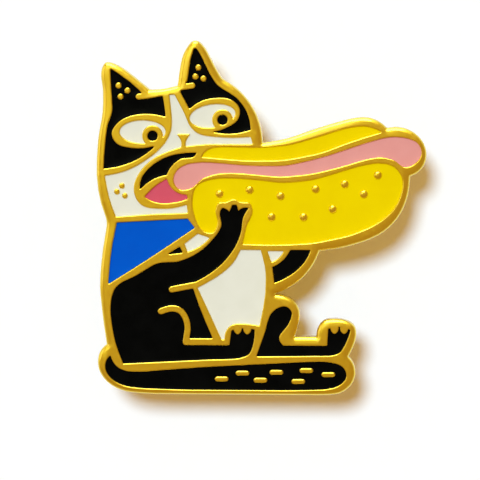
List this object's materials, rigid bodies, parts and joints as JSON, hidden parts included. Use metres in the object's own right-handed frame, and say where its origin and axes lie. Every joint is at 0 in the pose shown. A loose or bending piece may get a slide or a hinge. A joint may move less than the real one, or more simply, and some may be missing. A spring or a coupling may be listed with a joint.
{
  "type": "enamel pin",
  "caption": "Soft-enamel lapel pin of a seated cat biting a hot dog, with raised gold lines, back posts and butterfly clutches that slide, spin and pinch.",
  "frame": {"origin": "on the plate's back face, behind the middle of the picture", "axes": "+Z out of the picture, +Y to the top of the picture, +X to its right as seen from the front"},
  "size_m": [0.0354, 0.038, 0.0109],
  "materials": {
    "gold_plate": "satin gold plating over die-cast zinc",
    "clutch_brass": "bright gold-plated pressed brass",
    "solder": "dull silver solder",
    "black_enamel": "glossy soft enamel",
    "white_enamel": "glossy soft enamel",
    "yellow_enamel": "glossy soft enamel",
    "blue_enamel": "glossy soft enamel",
    "pink_enamel": "glossy soft enamel",
    "red_enamel": "glossy soft enamel"
  },
  "bodies": {
    "pin": {"base_plate": "gold_plate", "left_mask_enamel": "black_enamel", "right_mask_enamel": "black_enamel", "face_enamel": "white_enamel", "left_eye_enamel": "white_enamel", "right_eye_enamel": "white_enamel", "left_pupil_enamel": "black_enamel", "right_pupil_enamel": "black_enamel", "mouth_enamel": "black_enamel", "tongue_enamel": "red_enamel", "top_bun_enamel": "yellow_enamel", "sausage_enamel": "pink_enamel", "bottom_bun_enamel": "yellow_enamel", "neckerchief_enamel": "blue_enamel", "shoulder_enamel": "black_enamel", "chest_enamel": "white_enamel", "body_enamel": "black_enamel", "belly_enamel": "white_enamel", "far_cuff_enamel": "white_enamel", "far_arm_enamel": "black_enamel", "far_leg_enamel": "black_enamel", "tail_enamel": "black_enamel", "upper_post": "gold_plate", "upper_solder": "solder", "lower_post": "gold_plate", "lower_solder": "solder"},
    "upper_disc": {"upper_disc": "clutch_brass"},
    "upper_cage": {"upper_cage": "clutch_brass"},
    "upper_left_wing": {"upper_left_wing": "clutch_brass"},
    "upper_right_wing": {"upper_right_wing": "clutch_brass"},
    "lower_disc": {"lower_disc": "clutch_brass"},
    "lower_cage": {"lower_cage": "clutch_brass"},
    "lower_left_wing": {"lower_left_wing": "clutch_brass"},
    "lower_right_wing": {"lower_right_wing": "clutch_brass"}
  },
  "joints": [
    {"name": "upper_clutch_slide", "type": "slide", "parent": "pin", "child": "upper_disc", "axis": [0, 0, -1], "range_m": [0, 0.014]},
    {"name": "upper_cage_spin", "type": "hinge", "parent": "upper_disc", "child": "upper_cage", "pos_m": [-0.006, 0.006, -0.003], "axis": [0, 0, 1], "continuous": true},
    {"name": "upper_right_wing_pinch", "type": "hinge", "parent": "upper_cage", "child": "upper_right_wing", "pos_m": [-0.004, 0.006, -0.0042], "axis": [0, 1, 0], "range_deg": [0, 12], "stiffness_Nm_per_rad": 0.00001},
    {"name": "upper_left_wing_pinch", "type": "hinge", "parent": "upper_cage", "child": "upper_left_wing", "pos_m": [-0.008, 0.006, -0.0042], "axis": [0, -1, 0], "range_deg": [0, 12], "stiffness_Nm_per_rad": 0.00001},
    {"name": "lower_clutch_slide", "type": "slide", "parent": "pin", "child": "lower_disc", "axis": [0, 0, -1], "range_m": [0, 0.014]},
    {"name": "lower_cage_spin", "type": "hinge", "parent": "lower_disc", "child": "lower_cage", "pos_m": [-0.006, -0.01, -0.003], "axis": [0, 0, 1], "continuous": true},
    {"name": "lower_right_wing_pinch", "type": "hinge", "parent": "lower_cage", "child": "lower_right_wing", "pos_m": [-0.004, -0.01, -0.0042], "axis": [0, 1, 0], "range_deg": [0, 12], "stiffness_Nm_per_rad": 0.00001},
    {"name": "lower_left_wing_pinch", "type": "hinge", "parent": "lower_cage", "child": "lower_left_wing", "pos_m": [-0.008, -0.01, -0.0042], "axis": [0, -1, 0], "range_deg": [0, 12], "stiffness_Nm_per_rad": 0.00001}
  ],
  "couplings": [
    {"joint": "upper_left_wing_pinch", "follows": "upper_right_wing_pinch", "ratio": 1},
    {"joint": "lower_left_wing_pinch", "follows": "lower_right_wing_pinch", "ratio": 1}
  ]
}
